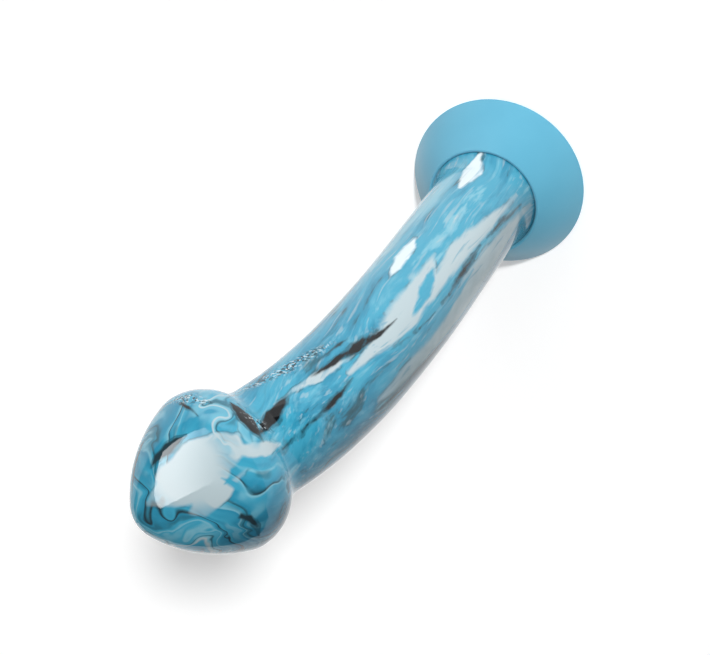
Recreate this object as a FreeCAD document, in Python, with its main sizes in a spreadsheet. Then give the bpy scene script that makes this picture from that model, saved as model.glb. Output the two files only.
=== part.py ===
"""Curved marbled-glass massage wand standing in a silicone suction base.

Units are millimetres.  +Z is up along the straight lower shaft, the wand bends
towards +X in the XZ plane, and the origin is the centre of the sealing lip that
stands on Z = 0.
"""
import FreeCAD, Part
import math
import os

import Sketcher

DRIVING_SIZES = {
    # silicone suction base
    "lip_radius": 28.5,
    "lip_edge": 1.2,
    "lip_inner_radius": 24.0,
    "cup_depth": 3.6,
    "dome_radius": 60.0,
    "seam_height": 17.2,
    "seam_land": 0.9,
    "socket_floor": 7.4,
    "socket_clearance": 0.06,
    "mouth_bevel": 0.4,
    # foot of the glass, which flares where it enters the base
    "foot_radius": 17.1,
    "foot_lift": 0.1,
    "foot_bevel": 1.2,
    "flare_height": 8.0,
    # glass shaft: straight, then three bends of growing curvature
    "shaft_radius": 15.5,
    "straight_top": 74.2,
    "low_bend_radius": 418.0,
    "low_bend_angle": 6.25,
    "middle_bend_radius": 133.0,
    "middle_bend_angle": 10.6,
    "neck_bend_radius": 60.0,
    "neck_bend_angle": 16.9,
    # glass head, turned about the line on which the shaft ends
    "neck_length": 15.6,
    "head_radius": 22.6,
    "head_front": 25.4,
    "back_radius": 14.6,
    "shoulder_radius": 9.2,
    "flank_radius": 39.0,
    "tip_radius": 10.0,
    # coloured glass melted over the clear glass body
    "layer_thickness": 2.0,
}

doc = FreeCAD.newDocument("MarbledGlassWand")
sheet = doc.addObject("Spreadsheet::Sheet", "dims")
for row, (alias, value) in enumerate(DRIVING_SIZES.items(), start=1):
    sheet.set(f"A{row}", alias)
    sheet.set(f"B{row}", str(value))
    sheet.setAlias(f"B{row}", alias)
doc.recompute()

# Numbers of a sketch's own axes and of an edge's start, end and centre.
ACROSS_AXIS, UP_AXIS = -1, -2
START, END, CENTRE = 1, 2, 3
ORIGIN = (-1, 1)


def size(alias):
    """Value of one driving dimension."""
    return float(sheet.get(alias))


def new_body(name):
    body = doc.addObject("PartDesign::Body", name)
    body.Label = name
    return body


def new_sketch(body, name, role="XZ_Plane"):
    """Sketch on one of its own body's origin planes."""
    planes = body.Origin.OriginFeatures
    sketch = body.newObject("Sketcher::SketchObject", name)
    sketch.AttachmentSupport = [(next(item for item in planes if item.Role == role), "")]
    sketch.MapMode = "FlatFace"
    return sketch


def add_line(sketch, start, end):
    line = Part.LineSegment(FreeCAD.Vector(*start, 0), FreeCAD.Vector(*end, 0))
    return sketch.addGeometry(line, False)


def add_arc(sketch, centre, radius, start_angle, end_angle):
    """Arc drawn counter-clockwise between two angles in degrees."""
    circle = Part.Circle(FreeCAD.Vector(*centre, 0), FreeCAD.Vector(0, 0, 1), radius)
    arc = Part.ArcOfCircle(circle, math.radians(start_angle), math.radians(end_angle))
    return sketch.addGeometry(arc, False)


def bind(sketch, kind, *place, expression):
    """Driving constraint that starts at the drawn size and then follows the sheet."""
    if kind == "Radius":
        drawn = sketch.Geometry[place[0]].Radius
    elif kind == "Angle":
        drawn = sketch.Geometry[place[0]].LastParameter - sketch.Geometry[place[0]].FirstParameter
    else:
        point = sketch.getPoint(*place[-2:])
        drawn = point.x if kind == "DistanceX" else point.y
    index = sketch.addConstraint(Sketcher.Constraint(kind, *place, drawn))
    sketch.setExpression(f"Constraints[{index}]", expression)


def fix_point(sketch, point, across=None, up=None):
    """Hold a sketch point at expressions for its distances from the axes.

    A distance that is left out keeps the point on that axis.
    """
    for kind, axis, expression in (("DistanceX", UP_AXIS, across), ("DistanceY", ACROSS_AXIS, up)):
        if expression is None:
            sketch.addConstraint(Sketcher.Constraint("PointOnObject", *point, axis))
        else:
            bind(sketch, kind, *ORIGIN, *point, expression=expression)


def meet(sketch, first, second, kind="Coincident"):
    """Join two edge ends, smoothly if kind is Tangent."""
    sketch.addConstraint(Sketcher.Constraint(kind, *first, *second))


def revolve(body, name, sketch):
    feature = body.newObject("PartDesign::Revolution", name)
    feature.Profile = sketch
    feature.ReferenceAxis = (sketch, ["V_Axis"])
    feature.Angle = 360
    return feature


# ---------------------------------------------------------------- silicone base


def build_suction_base():
    """One moulding: domed outside, sealing lip, shallow suction cup and a socket for the glass."""
    body = new_body("suction_base")
    sketch = new_sketch(body, "base_section")
    lip, edge, inner = size("lip_radius"), size("lip_edge"), size("lip_inner_radius")
    cup, seam, floor = size("cup_depth"), size("seam_height"), size("socket_floor")
    bore, mouth = size("foot_radius") + size("socket_clearance"), size("mouth_bevel")
    land = bore + size("seam_land")
    cup_radius = (inner**2 + cup**2) / (2 * cup)
    dome_centre, dome_angles = arc_between((lip, edge), (land, seam), size("dome_radius"))
    lip_angle = math.degrees(math.acos(inner / cup_radius))

    cup_arc = add_arc(sketch, (0, cup - cup_radius), cup_radius, lip_angle, 90)
    lip_line = add_line(sketch, (inner, 0), (lip - edge, 0))
    edge_arc = add_arc(sketch, (lip - edge, edge), edge, -90, 0)
    dome_arc = add_arc(sketch, dome_centre, size("dome_radius"), *dome_angles)
    land_line = add_line(sketch, (land, seam), (bore + mouth, seam))
    mouth_line = add_line(sketch, (bore + mouth, seam), (bore, seam - mouth))
    wall_line = add_line(sketch, (bore, seam - mouth), (bore, floor))
    floor_line = add_line(sketch, (bore, floor), (0, floor))
    axis_line = add_line(sketch, (0, floor), (0, cup))

    meet(sketch, (cup_arc, START), (lip_line, START))
    meet(sketch, (lip_line, END), (edge_arc, START))
    meet(sketch, (edge_arc, END), (dome_arc, START))
    meet(sketch, (dome_arc, END), (land_line, START))
    meet(sketch, (land_line, END), (mouth_line, START))
    meet(sketch, (mouth_line, END), (wall_line, START))
    meet(sketch, (wall_line, END), (floor_line, START))
    meet(sketch, (floor_line, END), (axis_line, START))
    meet(sketch, (axis_line, END), (cup_arc, END))

    socket = "dims.foot_radius + dims.socket_clearance"
    sketch.addConstraint(Sketcher.Constraint("PointOnObject", cup_arc, CENTRE, UP_AXIS))
    fix_point(sketch, (cup_arc, START), across="dims.lip_inner_radius")
    fix_point(sketch, (cup_arc, END), up="dims.cup_depth")
    fix_point(sketch, (lip_line, END), across="dims.lip_radius - dims.lip_edge")
    fix_point(sketch, (edge_arc, END), across="dims.lip_radius", up="dims.lip_edge")
    bind(sketch, "Radius", edge_arc, expression="dims.lip_edge")
    fix_point(sketch, (dome_arc, END), across=f"{socket} + dims.seam_land", up="dims.seam_height")
    bind(sketch, "Radius", dome_arc, expression="dims.dome_radius")
    fix_point(sketch, (land_line, END), across=f"{socket} + dims.mouth_bevel", up="dims.seam_height")
    fix_point(sketch, (wall_line, START), across=socket, up="dims.seam_height - dims.mouth_bevel")
    fix_point(sketch, (wall_line, END), across=socket, up="dims.socket_floor")
    fix_point(sketch, (floor_line, END), up="dims.socket_floor")
    revolve(body, "base_moulding", sketch)
    return body


def arc_between(start, end, radius):
    """Centre and angles of the counter-clockwise arc of this radius from start to end."""
    run, rise = end[0] - start[0], end[1] - start[1]
    chord = math.hypot(run, rise)
    depth = math.sqrt(radius**2 - (chord / 2) ** 2) / chord
    centre = ((start[0] + end[0]) / 2 - rise * depth, (start[1] + end[1]) / 2 + run * depth)
    angles = [math.degrees(math.atan2(p[1] - centre[1], p[0] - centre[0])) for p in (start, end)]
    return centre, angles


# ------------------------------------------------------------------- glass wand

FLARE_TOP = "(dims.seam_height + dims.flare_height)"
BENDS = ("low", "middle", "neck")


def bend_angle(count):
    """Expression, in degrees, for the shaft's lean after its first count bends."""
    return "(" + " + ".join(["0"] + [f"dims.{bend}_bend_angle" for bend in BENDS[:count]]) + ")"


def neck_place(function, sign):
    """Expression for how far the bends carry the shaft across (cos) or up (sin)."""
    terms = []
    for count, bend in enumerate(BENDS):
        before = f"{function}({bend_angle(count)} * 1 deg)"
        after = f"{function}({bend_angle(count + 1)} * 1 deg)"
        terms.append(f"dims.{bend}_bend_radius * {sign} * ({after} - {before})")
    return " + ".join(terms)


def add_shaft(body, inset):
    """Round shaft swept along a straight run and three tangent bends."""
    path = new_sketch(body, f"{body.Name}_path")
    low, top = size("seam_height") + size("flare_height"), size("straight_top")
    straight = add_line(path, (0, low), (0, top))
    fix_point(path, (straight, START), up=FLARE_TOP)
    fix_point(path, (straight, END), up="dims.straight_top")
    point, lean, below = (0, top), 0.0, (straight, END)
    for bend in BENDS:
        radius, angle = size(f"{bend}_bend_radius"), size(f"{bend}_bend_angle")
        turn = math.radians(lean)
        centre = (point[0] + radius * math.cos(turn), point[1] - radius * math.sin(turn))
        lean += angle
        arc = add_arc(path, centre, radius, 180 - lean, 180 - lean + angle)
        meet(path, below, (arc, END), "Tangent")
        bind(path, "Radius", arc, expression=f"dims.{bend}_bend_radius")
        bind(path, "Angle", arc, expression=f"dims.{bend}_bend_angle")
        turn = math.radians(lean)
        point = (centre[0] - radius * math.cos(turn), centre[1] + radius * math.sin(turn))
        below = (arc, START)

    section = new_sketch(body, f"{body.Name}_section", "XY_Plane")
    section.setExpression("AttachmentOffset.Base.z", FLARE_TOP)
    radius = size("shaft_radius") - (size("layer_thickness") if inset else 0)
    circle = Part.Circle(FreeCAD.Vector(0, 0, 0), FreeCAD.Vector(0, 0, 1), radius)
    ring = section.addGeometry(circle, False)
    meet(section, (ring, CENTRE), ORIGIN)
    bind(section, "Radius", ring, expression=f"dims.shaft_radius{inset}")
    doc.recompute()

    pipe = body.newObject("PartDesign::AdditivePipe", f"{body.Name}_shaft")
    pipe.Profile = section
    pipe.Spine = (path, [f"Edge{number + 1}" for number in range(len(BENDS) + 1)])


def add_foot(body, inset):
    """Foot that fills the socket, with a concave flare down to it from the shaft."""
    sketch = new_sketch(body, f"{body.Name}_foot_section")
    thinner = size("layer_thickness") if inset else 0
    foot, shaft = size("foot_radius") - thinner, size("shaft_radius") - thinner
    bottom, seam = size("socket_floor") + size("foot_lift"), size("seam_height")
    flare, bevel = size("flare_height"), size("foot_bevel")
    step = foot - shaft
    sweep_radius = (flare**2 + step**2) / (2 * step)
    sweep = math.degrees(math.asin(flare / sweep_radius))

    bottom_line = add_line(sketch, (0, bottom), (foot - bevel, bottom))
    bevel_line = add_line(sketch, (foot - bevel, bottom), (foot, bottom + bevel))
    side_line = add_line(sketch, (foot, bottom + bevel), (foot, seam))
    flare_arc = add_arc(sketch, (shaft + sweep_radius, seam + flare), sweep_radius, 180, 180 + sweep)
    top_line = add_line(sketch, (shaft, seam + flare), (0, seam + flare))
    axis_line = add_line(sketch, (0, seam + flare), (0, bottom))
    meet(sketch, (bottom_line, END), (bevel_line, START))
    meet(sketch, (bevel_line, END), (side_line, START))
    meet(sketch, (side_line, END), (flare_arc, END))
    meet(sketch, (flare_arc, START), (top_line, START))
    meet(sketch, (top_line, END), (axis_line, START))
    meet(sketch, (axis_line, END), (bottom_line, START))

    base = "dims.socket_floor + dims.foot_lift"
    foot_size, shaft_size = f"dims.foot_radius{inset}", f"dims.shaft_radius{inset}"
    fix_point(sketch, (bottom_line, START), up=base)
    fix_point(sketch, (bottom_line, END), across=f"{foot_size} - dims.foot_bevel", up=base)
    fix_point(sketch, (side_line, START), across=foot_size, up=f"{base} + dims.foot_bevel")
    fix_point(sketch, (side_line, END), across=foot_size, up="dims.seam_height")
    fix_point(sketch, (top_line, START), across=shaft_size, up=FLARE_TOP)
    fix_point(sketch, (top_line, END), up=FLARE_TOP)
    bind(sketch, "DistanceY", *ORIGIN, flare_arc, CENTRE, expression=FLARE_TOP)
    revolve(body, f"{body.Name}_foot", sketch)


def add_head(body, inset):
    """Bulb turned about the shaft's last direction: neck fillet, back, shoulder, flank and tip."""
    sketch = new_sketch(body, f"{body.Name}_head_section")
    sketch.setExpression("AttachmentOffset.Base.x", neck_place("cos", "-1"))
    sketch.setExpression("AttachmentOffset.Base.y", "dims.straight_top + " + neck_place("sin", "1"))
    sketch.AttachmentOffset = FreeCAD.Placement(FreeCAD.Vector(0, 0, 0), FreeCAD.Rotation(0, 0, 1, 0))
    sketch.setExpression("AttachmentOffset.Rotation.Angle", f"-{bend_angle(len(BENDS))}")

    thinner = size("layer_thickness") if inset else 0
    shaft, head = size("shaft_radius") - thinner, size("head_radius") - thinner
    back, shoulder = size("back_radius") - thinner, size("shoulder_radius") - thinner
    flank, tip = size("flank_radius") - thinner, size("tip_radius") - thinner
    neck, front = size("neck_length"), size("head_front") - thinner
    reach = shaft - head + back
    fillet = (reach**2 + neck**2 - back**2) / (2 * (back - reach))
    fillet_turn = math.degrees(math.asin(neck / (back + fillet)))
    # First guesses of where the arcs of the front meet; the tangencies settle them.
    shoulder_turn, flank_turn = 20.0, 63.0
    flank_centre = arc_step((head - shoulder, neck), shoulder - flank, shoulder_turn)

    neck_line = add_line(sketch, (0, 0), (shaft, 0))
    fillet_arc = add_arc(sketch, (shaft + fillet, 0), fillet, 180 - fillet_turn, 180)
    back_arc = add_arc(sketch, (head - back, neck), back, -fillet_turn, 0)
    shoulder_arc = add_arc(sketch, (head - shoulder, neck), shoulder, 0, shoulder_turn)
    flank_arc = add_arc(sketch, flank_centre, flank, shoulder_turn, flank_turn)
    tip_arc = add_arc(sketch, (0, neck + front - tip), tip, flank_turn, 90)
    axis_line = add_line(sketch, (0, neck + front), (0, 0))
    meet(sketch, (neck_line, START), ORIGIN)
    meet(sketch, (neck_line, END), (fillet_arc, END))
    meet(sketch, (fillet_arc, START), (back_arc, START), "Tangent")
    meet(sketch, (back_arc, END), (shoulder_arc, START))
    meet(sketch, (shoulder_arc, END), (flank_arc, START), "Tangent")
    meet(sketch, (flank_arc, END), (tip_arc, START), "Tangent")
    meet(sketch, (tip_arc, END), (axis_line, START))
    meet(sketch, (axis_line, END), (neck_line, START))

    fix_point(sketch, (neck_line, END), across=f"dims.shaft_radius{inset}")
    sketch.addConstraint(Sketcher.Constraint("PointOnObject", fillet_arc, CENTRE, ACROSS_AXIS))
    fix_point(sketch, (back_arc, END), across=f"dims.head_radius{inset}", up="dims.neck_length")
    for name, arc in (("back", back_arc), ("shoulder", shoulder_arc)):
        bind(sketch, "DistanceY", *ORIGIN, arc, CENTRE, expression="dims.neck_length")
        bind(sketch, "Radius", arc, expression=f"dims.{name}_radius{inset}")
    bind(sketch, "Radius", flank_arc, expression=f"dims.flank_radius{inset}")
    bind(sketch, "Radius", tip_arc, expression=f"dims.tip_radius{inset}")
    sketch.addConstraint(Sketcher.Constraint("PointOnObject", tip_arc, CENTRE, UP_AXIS))
    fix_point(sketch, (tip_arc, END), up=f"dims.neck_length + dims.head_front{inset}")
    revolve(body, f"{body.Name}_head", sketch)


def arc_step(centre, distance, angle):
    """Point at a distance from centre along an angle in degrees."""
    turn = math.radians(angle)
    return (centre[0] + distance * math.cos(turn), centre[1] + distance * math.sin(turn))


def build_wand_body(name, inset=""):
    """Whole glass shape; inset is an expression that takes a layer off its radii."""
    body = new_body(name)
    add_shaft(body, inset)
    add_foot(body, inset)
    add_head(body, inset)
    return body


def build_glass_layers():
    """Clear glass body, and the coloured layer left when it is cut from the whole shape."""
    core = build_wand_body("glass_core", " - dims.layer_thickness")
    whole = build_wand_body("whole_wand")
    layer = doc.addObject("Part::Cut", "marbled_layer")
    layer.Base = whole
    layer.Tool = core
    layer.Label = "marbled_layer"
    return [core, layer]


# ------------------------------------------------------------------ checks, files


def check_document():
    for item in doc.Objects:
        if "Invalid" in item.State or "Error" in item.State:
            raise RuntimeError(f"{item.Name} did not build: {item.State}")


def check_shape(node):
    shape = node.Shape
    if shape.isNull() or not shape.isValid() or len(shape.Solids) != 1:
        raise RuntimeError(f"{node.Label} is not one sound solid")


nodes = [build_suction_base()] + build_glass_layers()
doc.recompute()
check_document()
for node in nodes:
    check_shape(node)

os.makedirs("parts", exist_ok=True)
for node in nodes:
    node.Shape.exportStep(f"parts/{node.Label}.step")
    print(node.Label, round(node.Shape.Volume), node.Shape.BoundBox)
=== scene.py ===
"""Looks for the marbled-glass massage wand on its silicone suction base.

Everything is in metres in the row frame: +Z up the straight lower shaft, the wand
bends towards +X, and the base stands on Z = 0.
"""
import math

import bpy
from mathutils import Matrix, Vector
from mathutils.bvhtree import BVHTree


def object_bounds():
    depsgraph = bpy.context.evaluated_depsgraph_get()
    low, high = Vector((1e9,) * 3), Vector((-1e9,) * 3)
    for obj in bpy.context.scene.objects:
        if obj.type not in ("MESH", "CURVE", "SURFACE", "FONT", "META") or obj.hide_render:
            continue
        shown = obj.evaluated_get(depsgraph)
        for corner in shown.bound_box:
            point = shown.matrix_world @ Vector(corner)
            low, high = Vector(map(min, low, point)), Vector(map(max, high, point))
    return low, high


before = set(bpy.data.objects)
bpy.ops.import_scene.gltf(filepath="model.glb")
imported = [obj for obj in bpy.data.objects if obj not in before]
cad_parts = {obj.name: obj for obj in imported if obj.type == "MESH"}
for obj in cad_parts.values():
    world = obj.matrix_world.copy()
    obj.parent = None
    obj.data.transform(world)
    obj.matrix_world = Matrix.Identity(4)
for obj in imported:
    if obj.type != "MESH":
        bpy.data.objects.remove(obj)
cad_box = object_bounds()

MM = 0.001
LOWEST = cad_box[0][2]

# Centre line of the glass in millimetres: a straight run, three bends (radius, degrees) and a
# straight head.  HEAD_START is just past the last bend.
STRAIGHT_TOP = 74.2
BENDS = ((418.0, 6.25), (133.0, 10.6), (60.0, 16.9))
HEAD_START = 162.4
HEAD_BLEND = HEAD_START + 8
HEAD_MIDDLE = HEAD_START + 20


# ------------------------------------------------------------- places on the glass


def centre_line(along):
    """Point and direction of the glass's centre line, along millimetres up from the floor."""
    x, z, lean = 0.0, min(along, STRAIGHT_TOP), 0.0
    left = along - z
    for radius, angle in BENDS:
        turn = min(left / radius, math.radians(angle))
        x += radius * (math.cos(lean) - math.cos(lean + turn))
        z += radius * (math.sin(lean + turn) - math.sin(lean))
        lean += turn
        left -= radius * turn
    x += left * math.sin(lean)
    z += left * math.cos(lean)
    return Vector((x, 0, z)) * MM, Vector((math.sin(lean), 0, math.cos(lean)))


def surface_finder(node):
    """Function that gives the outer surface point of a CAD node at (along, around)."""
    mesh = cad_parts[node].data
    places = [vertex.co for vertex in mesh.vertices]
    tree = BVHTree.FromPolygons(places, [tuple(face.vertices) for face in mesh.polygons])
    reach = 60 * MM

    def find(along, around):
        centre, direction = centre_line(along)
        across = Vector((direction.z, 0, -direction.x))
        turn = math.radians(around)
        outward = across * math.cos(turn) + Vector((0, math.sin(turn), 0))
        hit = tree.ray_cast(centre + outward * reach, -outward, reach)[0]
        return hit if hit is not None else centre

    return find


on_glass = surface_finder("marbled_layer")


# ---------------------------------------------------------------------- node maker


# The Mix node's sockets for colour.
MIX_AMOUNT, MIX_FIRST, MIX_SECOND, MIX_RESULT = 0, 6, 7, 2
MEASURES = ("DOT_PRODUCT", "LENGTH", "DISTANCE")


class Maker:
    """Small helper that adds shader nodes to one node tree."""

    def __init__(self, tree):
        self.tree = tree

    def add(self, kind, inputs=(), **settings):
        node = self.tree.nodes.new(kind)
        for key, value in settings.items():
            setattr(node, key, value)
        for key, value in dict(inputs).items():
            self.feed(node.inputs[key], value)
        return node

    def feed(self, socket, value):
        if isinstance(value, bpy.types.NodeSocket):
            self.tree.links.new(value, socket)
        elif value is not None:
            socket.default_value = value

    def place(self):
        """Position on the object, which stays with it when it moves."""
        return self.add("ShaderNodeTexCoord").outputs["Object"]

    def math(self, operation, first, second=None, third=None):
        node = self.add("ShaderNodeMath", operation=operation)
        for socket, value in zip(node.inputs, (first, second, third)):
            self.feed(socket, value)
        return node.outputs[0]

    def times(self, first, second):
        return self.math("MULTIPLY", first, second)

    def vector(self, operation, first, second=None, scale=None):
        node = self.add("ShaderNodeVectorMath", operation=operation)
        self.feed(node.inputs[0], first)
        self.feed(node.inputs[1], second)
        if scale is not None:
            self.feed(node.inputs["Scale"], scale)
        return node.outputs["Value" if operation in MEASURES else 0]

    def noise(self, place, scale, detail, roughness, output=0):
        inputs = {"Vector": place, "Scale": scale, "Detail": detail, "Roughness": roughness}
        return self.add("ShaderNodeTexNoise", inputs).outputs[output]

    def wander(self, place, scale, detail, roughness):
        """Smooth noise as a vector, up to half a unit each way."""
        noise = self.noise(place, scale, detail, roughness, "Color")
        return self.vector("SUBTRACT", noise, (0.5, 0.5, 0.5))

    def wave(self, place, scale, profile):
        inputs = {"Vector": place, "Scale": scale, "Distortion": 0.0}
        node = self.add("ShaderNodeTexWave", inputs, wave_type="BANDS", bands_direction="DIAGONAL",
                        wave_profile=profile)
        return node.outputs["Fac"]

    def stretch(self, place, share):
        """Place squeezed to share of its height, which draws a pattern out along the wand."""
        return self.vector("MULTIPLY", place, (1.0, 1.0, share))

    def pushed(self, place, push, reach):
        """Place carried along push, times reach metres."""
        return self.vector("ADD", place, self.vector("SCALE", push, scale=reach))

    def fade(self, value, low, high):
        """Smooth step: 0 on low's side and 1 on high's."""
        inputs = {"Value": value, "From Min": low, "From Max": high}
        settings = {"interpolation_type": "SMOOTHSTEP", "clamp": False}
        return self.add("ShaderNodeMapRange", inputs, **settings).outputs[0]

    def mix(self, amount, first, second, blend="MIX"):
        node = self.add("ShaderNodeMix", data_type="RGBA", blend_type=blend)
        self.feed(node.inputs[MIX_AMOUNT], amount)
        self.feed(node.inputs[MIX_FIRST], first)
        self.feed(node.inputs[MIX_SECOND], second)
        return node.outputs[MIX_RESULT]

    def tinted(self, colour, amount, share, tint):
        """Colour mixed towards tint by amount times share."""
        return self.mix(self.times(amount, share), colour, tint)

    def ramp(self, value, stops):
        node = self.add("ShaderNodeValToRGB", {"Fac": value})
        node.color_ramp.interpolation = "EASE"
        elements = node.color_ramp.elements
        while len(elements) < len(stops):
            elements.new(0.5)
        for element, (position, colour) in zip(elements, stops):
            element.position = position
            element.color = colour
        return node.outputs[0]

    def bump(self, height, strength, distance, normal=None):
        inputs = {"Height": height, "Strength": strength, "Distance": distance}
        node = self.add("ShaderNodeBump", inputs)
        self.feed(node.inputs["Normal"], normal)
        return node.outputs[0]


def material_maker(name):
    """New material, the maker for its nodes and its shader."""
    material = bpy.data.materials.new(name)
    material.use_nodes = True
    return material, Maker(material.node_tree), material.node_tree.nodes["Principled BSDF"]


def group_maker(name, inputs, output):
    """New node group with (name, kind) inputs and one output: its maker, inputs and end."""
    tree = bpy.data.node_groups.new(name, "ShaderNodeTree")
    for label, kind in inputs:
        tree.interface.new_socket(label, in_out="INPUT", socket_type=f"NodeSocket{kind}")
    tree.interface.new_socket("Result", in_out="OUTPUT", socket_type=f"NodeSocket{output}")
    make = Maker(tree)
    start, end = make.add("NodeGroupInput"), make.add("NodeGroupOutput")
    return make, [start.outputs[label] for label, kind in inputs], end.inputs[0]


def rgb(red, green, blue):
    """Linear colour of display values from 0 to 255."""
    parts = [value / 255 for value in (red, green, blue)]
    linear = [part / 12.92 if part < 0.04045 else ((part + 0.055) / 1.055) ** 2.4 for part in parts]
    return (*linear, 1.0)


# ------------------------------------------------------------------ marbled glass

WHITE = rgb(170, 186, 191)
PURE_WHITE = rgb(208, 220, 224)
PALE = rgb(114, 174, 192)
BLUE = rgb(58, 150, 178)
DEEP = rgb(42, 132, 162)
TEAL = rgb(36, 90, 106)
SLATE = rgb(32, 54, 62)
BLACK = rgb(9, 12, 15)
# tint of the painted shade down one side of the glass
SHADE_TINT = rgb(66, 116, 128)

# Marks of colour on the glass, back to front.  Each is (colour, edge softness in mm, start, end,
# half-width in mm, bow in degrees); a place is (along in mm, around in degrees).  Most of the places
# and widths are rounded from numbers that another program worked out.
LIGHT_MARKS = (
    (WHITE, 0.7, (80, -135), (140, -150), 4.0, -5),
    (WHITE, 0.8, (25, -170), (120, -150), 2.5, 5),
    (WHITE, 1.0, (20, 170), (135, 165), 4.5, 0),
    (PURE_WHITE, 0.5, (75, -105), (100, -110), 2.0, 0),
    (PURE_WHITE, 0.5, (15, -110), (40, -110), 2.5, 0),
    (PALE, 2.4, (20, -95), (80, -75), 3.0, 0),
    (BLUE, 0.5, (85, -140), (110, -155), 1.5, 0),
    (BLUE, 0.9, (70, 180), (125, 175), 1.5, 0),
    (WHITE, 0.4, (135, -140), (160, -130), 1.5, 0),
    (WHITE, 0.6, (175, -145), (200, -135), 8.5, -10),
    (WHITE, 0.6, (180, -155), (195, -180), 4.0, 0),
    (WHITE, 0.5, (165, -165), (185, -150), 2.5, 0),
    (PALE, 0.4, (170, -125), (175, -160), 1.2, 0),
    (BLUE, 0.5, (170, -175), (185, -165), 1.5, 10),
    (BLUE, 0.5, (180, -180), (185, -160), 1.0, 0),
)
DARK_MARKS = (
    (BLACK, 0.4, (115, -145), (150, -130), 1.3, 0),
    (BLACK, 0.5, (140, -155), (165, -170), 1.0, 0),
    (SLATE, 0.3, (90, -170), (130, -160), 0.5, -5),
    (BLACK, 0.7, (60, -170), (90, -170), 1.0, 0),
    (SLATE, 0.6, (25, -180), (55, -170), 0.6, 0),
    (SLATE, 0.4, (130, -125), (150, -115), 0.6, 0),
    (BLACK, 0.5, (170, -115), (170, -155), 2.2, 0),
    (BLACK, 0.5, (155, -130), (170, -150), 2.0, 0),
    (SLATE, 0.5, (185, -120), (195, -110), 1.6, 0),
    (SLATE, 0.5, (190, -75), (200, -70), 0.8, 0),
    (BLACK, 0.4, (180, -95), (180, -115), 0.8, 10),
    (SLATE, 0.4, (180, 140), (185, 165), 0.8, 10),
)

# Where the fine black and white chips lie: start, end, half-width and bow, from the same source.
CHIP_BANDS = (
    ((135, -115), (165, -85), 2.2, 0),
    ((175, -110), (180, -75), 2.2, 0),
    ((165, -150), (170, -130), 1.6, 0),
)

# Middle of the white field on the head, rounded from the same numbers.
WHITE_FIELD = (190, -140)

MARK_PIECES = 4
THINNEST = 0.1

# Colours of the streaks on the shaft, from low noise to high.
SHAFT_BANDS = (
    (0.28, SLATE), (0.36, TEAL), (0.43, DEEP), (0.52, BLUE), (0.60, BLUE), (0.67, PALE), (0.76, WHITE),
)

# Colour bands of the curls on the head, with thin dark and pale lines between them.
HEAD_BANDS = (
    (0.00, BLUE), (0.07, DEEP), (0.12, BLUE), (0.15, SLATE), (0.165, DEEP), (0.24, BLUE), (0.27, PALE),
    (0.29, BLUE), (0.36, BLUE), (0.38, TEAL), (0.40, PALE), (0.42, WHITE), (0.44, BLUE), (0.50, DEEP),
    (0.57, BLUE), (0.60, PALE), (0.62, BLUE), (0.68, DEEP), (0.72, SLATE), (0.735, PALE), (0.76, BLUE),
    (0.83, DEEP), (0.87, TEAL), (0.89, BLUE), (0.93, PALE), (0.95, DEEP), (1.00, BLUE),
)

# Level directions: away from the side that the marks are on, and towards the side where shade is painted
# on.
PLAIN_SIDE = (0.81, 0.59, 0.0)
SHADED_SIDE = (-0.3, 0.95, 0.0)


def reach_group():
    """How far inside one tapering piece of a mark a place is, joined to the piece before."""
    inputs = [(name, "Vector") for name in ("Place", "Start", "Share", "Back")]
    inputs += [(name, "Float") for name in ("Wide", "Widen", "Before")]
    make, (place, start, share, back, wide, widen, before), end = group_maker("reach", inputs, "Float")
    offset = make.vector("SUBTRACT", place, start)
    part = make.add("ShaderNodeClamp", {"Value": make.vector("DOT_PRODUCT", offset, share)}).outputs[0]
    back = make.vector("SCALE", back, scale=part)
    distance = make.vector("LENGTH", make.vector("ADD", offset, back))
    inside = make.math("SUBTRACT", make.math("MULTIPLY_ADD", part, widen, wide), distance)
    make.feed(end, make.math("SMOOTH_MAX", before, inside, 0.6 * MM))
    return make.tree


def lay_group():
    """Colour laid over another where a mark is, with a broken darker line where it meets blue."""
    inputs = [("Below", "Color"), ("Tint", "Color")]
    inputs += [(name, "Float") for name in ("Depth", "Fray", "Softness", "Outline")]
    make, (below, tint, depth, fray, softness, outline), end = group_maker("lay", inputs, "Color")
    low = make.times(softness, -1.0)
    depth = make.math("ADD", depth, fray)
    off_edge = make.math("ABSOLUTE", make.math("ADD", depth, 0.3 * MM))
    red = make.add("ShaderNodeSeparateColor", {"Color": below}).outputs[0]
    line = make.times(make.fade(off_edge, 0.4 * MM, 0.0), outline)
    line = make.times(line, make.fade(red, 0.30, 0.12))
    outlined = make.mix(line, below, TEAL)
    make.feed(end, make.mix(make.fade(depth, low, softness), outlined, tint))
    return make.tree


def mark_depth(make, reach, place, start, end, wide, bow):
    """How far inside a spindle-shaped mark each place is, in metres, negative outside."""
    steps = [step / MARK_PIECES for step in range(MARK_PIECES + 1)]
    swell = [math.sin(math.pi * step) for step in steps]
    along = [start[0] + (end[0] - start[0]) * step for step in steps]
    around = [start[1] + (end[1] - start[1]) * step + bow * full for step, full in zip(steps, swell)]
    points = [on_glass(*where) for where in zip(along, around)]
    widths = [wide * MM * max(full, THINNEST) for full in swell]
    depth = -1.0
    for piece in range(MARK_PIECES):
        run = points[piece + 1] - points[piece]
        sizes = {"Place": place, "Start": tuple(points[piece]), "Back": tuple(-run),
                 "Share": tuple(run / run.length_squared), "Wide": widths[piece],
                 "Widen": widths[piece + 1] - widths[piece], "Before": depth}
        depth = make.add("ShaderNodeGroup", node_tree=reach, inputs=sizes).outputs[0]
    return depth


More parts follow.
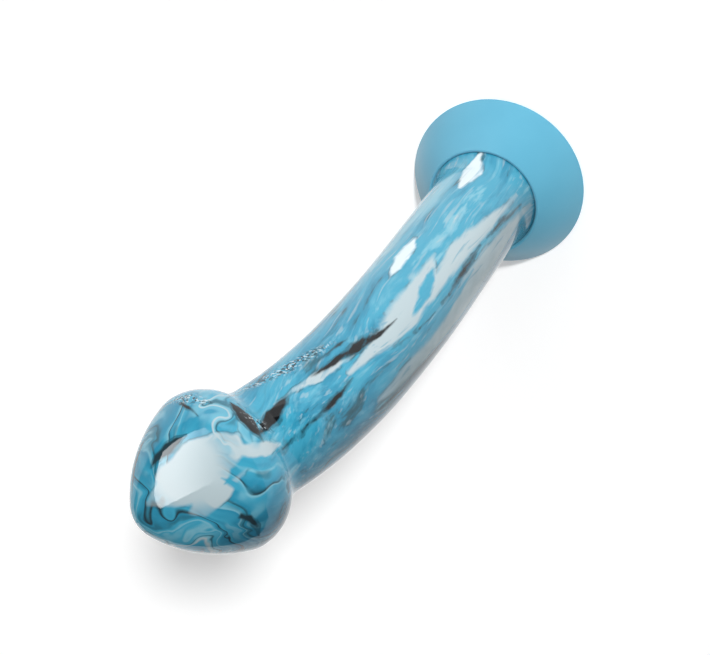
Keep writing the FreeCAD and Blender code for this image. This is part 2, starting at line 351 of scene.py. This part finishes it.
def flow_push(make, place, head):
    """Vector noise that drags the marks: in long waves on the shaft, in curls on the head."""
    shaft_push = make.noise(make.stretch(place, 0.25), 120.0, 2.0, 0.5, "Color")
    head_push = make.noise(place, 95.0, 2.0, 0.5, "Color")
    return make.vector("SUBTRACT", make.mix(head, shaft_push, head_push), (0.5, 0.5, 0.5))


def curled(make, place, scale, reach):
    """Place carried by smooth noise times reach metres, which curls whatever is drawn there."""
    return make.pushed(place, make.wander(place, scale, 1.0, 0.4), reach)


def shaft_flow(make, place, streak_place):
    """Streaks along the shaft, with broad white runs and thin dark lines on its plain side."""
    streaks = make.noise(make.stretch(streak_place, 0.14), 130.0, 5.0, 0.6)
    colour = make.ramp(streaks, SHAFT_BANDS)
    broad = make.noise(make.stretch(streak_place, 0.12), 75.0, 3.0, 0.5)
    plain = make.fade(make.vector("DOT_PRODUCT", place, PLAIN_SIDE), -4 * MM, 6 * MM)
    pale_run = make.times(make.fade(broad, 0.53, 0.58), plain)
    colour = make.tinted(colour, pale_run, 0.85, WHITE)
    off_line = make.math("ABSOLUTE", make.math("SUBTRACT", broad, 0.44))
    dark_line = make.times(make.fade(off_line, 0.014, 0.0), plain)
    return make.tinted(colour, dark_line, 0.85, SLATE)


def head_flow(make, place, curl_place):
    """Bands curled round the head, with pale and dark wisps in patches."""
    colour = make.ramp(make.wave(curl_place, 9.0, "SAW"), HEAD_BANDS)
    wisps = make.wave(curl_place, 31.0, "SIN")
    patches = make.fade(make.noise(place, 130.0, 2.0, 0.5), 0.42, 0.62)
    pale_wisp = make.times(make.fade(wisps, 0.72, 0.98), patches)
    dark_wisp = make.times(make.fade(wisps, 0.14, 0.0), patches)
    colour = make.tinted(colour, pale_wisp, 0.6, PALE)
    return make.tinted(colour, dark_wisp, 0.6, TEAL)


def lay_marks(make, reach, lay, mark_place, edge, colour, marks):
    """Colour with marks laid over it in turn; edge holds what all their edges share."""
    for tint, softness, *shape in marks:
        inputs = {"Below": colour, "Tint": tint, **edge, "Softness": softness * MM,
                  "Depth": mark_depth(make, reach, mark_place, *shape)}
        colour = make.add("ShaderNodeGroup", node_tree=lay, inputs=inputs).outputs[0]
    return colour


def flow_over_marks(make, place, streak_place, curl_place, head, colour, head_colour):
    """Thin veils on the head and hair lines on the shaft, which show through the light marks."""
    veil = make.times(make.fade(make.noise(curl_place, 75.0, 2.0, 0.5), 0.38, 0.56), head)
    off_field = make.vector("DISTANCE", place, tuple(on_glass(*WHITE_FIELD)))
    veil = make.times(veil, make.fade(off_field, 7 * MM, 13 * MM))
    colour = make.tinted(colour, veil, 0.6, head_colour)
    hair = make.noise(make.stretch(streak_place, 0.035), 800.0, 2.0, 0.5)
    shaft = make.math("SUBTRACT", 1.0, head)
    light_hair = make.times(make.fade(hair, 0.58, 0.72), shaft)
    dark_hair = make.times(make.fade(hair, 0.42, 0.28), shaft)
    colour = make.tinted(colour, light_hair, 0.4, WHITE)
    return make.tinted(colour, dark_hair, 0.45, DEEP)


def painted_side_shade(make, place, streak_place, colour):
    """Colour with painted shade: a patchy darker run down the side of the glass that the light leaves."""
    side = make.vector("DOT_PRODUCT", place, SHADED_SIDE)
    painted_shade = make.times(make.fade(side, -3 * MM, 12 * MM), make.fade(side, 22 * MM, 14 * MM))
    patchy = make.noise(make.stretch(streak_place, 0.3), 90.0, 4.0, 0.6)
    painted_shade = make.times(painted_shade, make.math("MULTIPLY_ADD", patchy, 1.1, 0.15))
    return make.mix(painted_shade, colour, SHADE_TINT, "MULTIPLY")


def chipped(make, reach, place, mark_place, push, colour):
    """Colour with fine black and white chips scattered in the chip bands."""
    depth = -1.0
    for band in CHIP_BANDS:
        depth = make.math("MAXIMUM", depth, mark_depth(make, reach, mark_place, *band))
    zone = make.fade(depth, -1.5 * MM, 1.5 * MM)
    cells = make.add("ShaderNodeTexVoronoi", {"Vector": make.pushed(place, push, 6 * MM), "Scale": 1700.0})
    tone = make.add("ShaderNodeSeparateColor", {"Color": cells.outputs["Color"]})
    dark_chips = make.times(make.fade(tone.outputs["Red"], 0.70, 0.78), zone)
    light_chips = make.times(make.fade(tone.outputs["Green"], 0.70, 0.80), zone)
    colour = make.tinted(colour, light_chips, 0.6, PURE_WHITE)
    return make.tinted(colour, dark_chips, 0.9, BLACK)


def marbled_glass():
    """Blue, white and black glass melted together, smooth and glossy on the outside."""
    material, make, shader = material_maker("marbled_glass")
    reach, lay = reach_group(), lay_group()
    place = make.place()
    head_base, head_direction = centre_line(HEAD_BLEND)
    from_head = make.vector("SUBTRACT", place, tuple(head_base))
    up_head = make.vector("DOT_PRODUCT", from_head, tuple(head_direction))
    head = make.fade(up_head, -8 * MM, 6 * MM)

    # the flow itself: long streaks on the shaft, smooth curls on the head
    slow = make.wander(make.stretch(place, 0.3), 45.0, 2.0, 0.5)
    streak_place = make.pushed(place, slow, 16 * MM)
    shaft_colour = shaft_flow(make, place, streak_place)
    curl_place = curled(make, curled(make, place, 55.0, 34 * MM), 130.0, 13 * MM)
    head_colour = head_flow(make, place, curl_place)
    colour = make.mix(head, shaft_colour, head_colour)
    fine = make.noise(make.stretch(streak_place, 0.08), 520.0, 3.0, 0.6)
    fine = make.times(make.fade(fine, 0.48, 0.86), make.math("MULTIPLY_ADD", head, -0.8, 1.0))
    colour = make.mix(fine, colour, PALE)

    # marks, whose edges the same flow frays and drags
    push = flow_push(make, place, head)
    mark_place = make.pushed(place, push, 4.5 * MM)
    fray = make.noise(make.stretch(streak_place, 0.15), 700.0, 3.0, 0.6)
    fray = make.times(make.math("SUBTRACT", fray, 0.5), 1.4 * MM)
    fray = make.times(fray, make.math("MULTIPLY_ADD", head, -0.8, 1.0))
    outline = make.times(make.fade(make.noise(mark_place, 160.0, 2.0, 0.5), 0.46, 0.62), 0.75)
    edge = {"Fray": fray, "Outline": outline}
    colour = lay_marks(make, reach, lay, mark_place, edge, colour, LIGHT_MARKS)
    colour = flow_over_marks(make, place, streak_place, curl_place, head, colour, head_colour)
    colour = lay_marks(make, reach, lay, mark_place, edge, colour, DARK_MARKS)
    # painted shade: the glass darkened down the side that the light leaves
    colour = painted_side_shade(make, place, streak_place, colour)
    colour = chipped(make, reach, place, mark_place, push, colour)

    make.feed(shader.inputs["Base Color"], colour)
    make.feed(shader.inputs["Roughness"], 0.035)
    make.feed(shader.inputs["IOR"], 1.46)
    ripple = make.noise(place, 60.0, 1.0, 0.4)
    make.feed(shader.inputs["Normal"], make.bump(ripple, 0.25, 0.4 * MM))
    return material


def clear_glass():
    """Clear glass body, with a few seeds, seen only under the foot."""
    material, make, shader = material_maker("clear_glass")
    place = make.place()
    seeds = make.add("ShaderNodeTexVoronoi", {"Vector": place, "Scale": 260.0})
    clear = make.fade(seeds.outputs["Distance"], 0.05, 0.16)
    tint = make.noise(place, 90.0, 2.0, 0.5)
    body = make.mix(tint, rgb(214, 236, 242), rgb(186, 222, 234))
    make.feed(shader.inputs["Base Color"], make.mix(clear, rgb(250, 252, 252), body))
    make.feed(shader.inputs["Transmission Weight"], 0.9)
    make.feed(shader.inputs["IOR"], 1.47)
    make.feed(shader.inputs["Roughness"], 0.03)
    return material


def blue_silicone():
    """Matte moulded silicone with a soft sheen, a fine grain and slight mottling."""
    material, make, shader = material_maker("silicone_blue")
    place = make.place()
    mottle = make.noise(place, 70.0, 3.0, 0.5)
    colour = make.mix(mottle, rgb(84, 158, 186), rgb(94, 168, 194))
    make.feed(shader.inputs["Base Color"], colour)
    grain = make.noise(place, 2600.0, 2.0, 0.6)
    swell = make.noise(place, 160.0, 1.0, 0.5)
    rough = make.math("MULTIPLY_ADD", grain, 0.14, 0.50)
    make.feed(shader.inputs["Roughness"], rough)
    make.feed(shader.inputs["IOR"], 1.42)
    make.feed(shader.inputs["Sheen Weight"], 0.25)
    make.feed(shader.inputs["Sheen Roughness"], 0.4)
    soft = make.bump(swell, 0.15, 0.2 * MM)
    make.feed(shader.inputs["Normal"], make.bump(grain, 0.12, 0.05 * MM, soft))
    return material


def give(node, material):
    """Put one material on every slot of a CAD node."""
    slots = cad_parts[node].material_slots
    for slot in slots:
        slot.material = material


give("marbled_layer", marbled_glass())
give("glass_core", clear_glass())
give("suction_base", blue_silicone())


# ------------------------------------------------------------- floor, light, camera


def pale_floor():
    """Wide matte floor just under the base, which glows faintly so that it stays white."""
    half = 4.0
    mesh = bpy.data.meshes.new("floor")
    corners = [(-half, -half, 0), (half, -half, 0), (half, half, 0), (-half, half, 0)]
    mesh.from_pydata(corners, [], [(0, 1, 2, 3)])
    floor = bpy.data.objects.new("floor", mesh)
    floor.location.z = LOWEST - 0.1 * MM
    bpy.context.collection.objects.link(floor)
    material, make, shader = material_maker("floor_paint")
    make.feed(shader.inputs["Base Color"], (0.93, 0.93, 0.93, 1))
    make.feed(shader.inputs["Roughness"], 0.9)
    make.feed(shader.inputs["Specular IOR Level"], 0.1)
    make.feed(shader.inputs["Emission Color"], (1, 1, 1, 1))
    make.feed(shader.inputs["Emission Strength"], 0.2)
    mesh.materials.append(material)


def studio_light(name, kind, towards, power, **settings):
    """Light that shines from the direction towards, not seen itself or in reflections."""
    data = bpy.data.lights.new(name, kind)
    data.energy = power
    for key, value in settings.items():
        setattr(data, key, value)
    light = bpy.data.objects.new(name, data)
    light.rotation_euler = Vector(towards).normalized().to_track_quat("Z", "Y").to_euler()
    light.visible_camera = light.visible_glossy = False
    bpy.context.collection.objects.link(light)
    return light


def soft_box(name, towards, distance, size, power, aim):
    """Rectangular light, distance metres from aim."""
    width, height = size
    light = studio_light(name, "AREA", towards, power, shape="RECTANGLE", size=width, size_y=height)
    light.location = Vector(aim) + Vector(towards).normalized() * distance
    return light


def fade_across(light, end):
    """Make a soft box fade in along its own width, to full strength at end."""
    light.data.use_nodes = True
    make = Maker(light.data.node_tree)
    place = make.add("ShaderNodeNewGeometry").outputs["Parametric"]
    over = make.add("ShaderNodeSeparateXYZ", {"Vector": place})
    emission = make.tree.nodes["Emission"]
    make.feed(emission.inputs["Strength"], make.fade(over.outputs["X"], 0.0, end))


def surroundings(strength):
    """Even white light from all round."""
    world = bpy.data.worlds.new("studio")
    world.use_nodes = True
    background = world.node_tree.nodes["Background"]
    background.inputs["Color"].default_value = (1, 1, 1, 1)
    background.inputs["Strength"].default_value = strength
    bpy.context.scene.world = world


# A solver worked these out, together with the object's sizes.
CAMERA_PLACE = Vector((-0.2618, -0.2018, 0.5606))
CAMERA_AIM = Vector((0.0356, 0.0159, 0.0600))
CAMERA_ROLL = math.radians(-142.7)
LENS, SENSOR = 101.4, 36.0


def photo_camera():
    """Long lens above the head, looking down the wand at its base, with a large roll."""
    data = bpy.data.cameras.new("camera")
    data.lens = LENS
    data.sensor_width = SENSOR
    data.clip_start = 0.01
    camera = bpy.data.objects.new("camera", data)
    facing = (CAMERA_AIM - CAMERA_PLACE).to_track_quat("-Z", "Y").to_matrix().to_4x4()
    roll = Matrix.Rotation(CAMERA_ROLL, 4, "Z")
    camera.matrix_world = Matrix.Translation(CAMERA_PLACE) @ facing @ roll
    bpy.context.collection.objects.link(camera)
    bpy.context.scene.camera = camera


pale_floor()
surroundings(strength=0.12)
studio_light("key", "SUN", towards=(-0.57, -0.455, 0.685), power=2.35, angle=0.10)
studio_light("top", "SUN", towards=(0, 0, 1), power=0.65, angle=1.2)
soft_box("side", towards=(-0.3, -0.95, 0.2), distance=0.9, size=(0.8, 0.5), power=3.0, aim=(0, 0, 0.05))
soft_box("fill", towards=(1, 0, 0.3), distance=1.2, size=(1, 1), power=0.5, aim=(0, 0, 0.1))
# the highlight on the head: a light that shows only in reflections
highlight = soft_box("highlight", towards=(0.15, -0.65, 0.75), distance=0.6, size=(0.8, 0.8),
                     power=16.0, aim=centre_line(HEAD_MIDDLE)[0])
highlight.visible_glossy, highlight.visible_diffuse = True, False
fade_across(highlight, end=0.75)
photo_camera()
bpy.context.scene.view_settings.view_transform = "Standard"
bpy.context.scene.view_settings.look = "None"
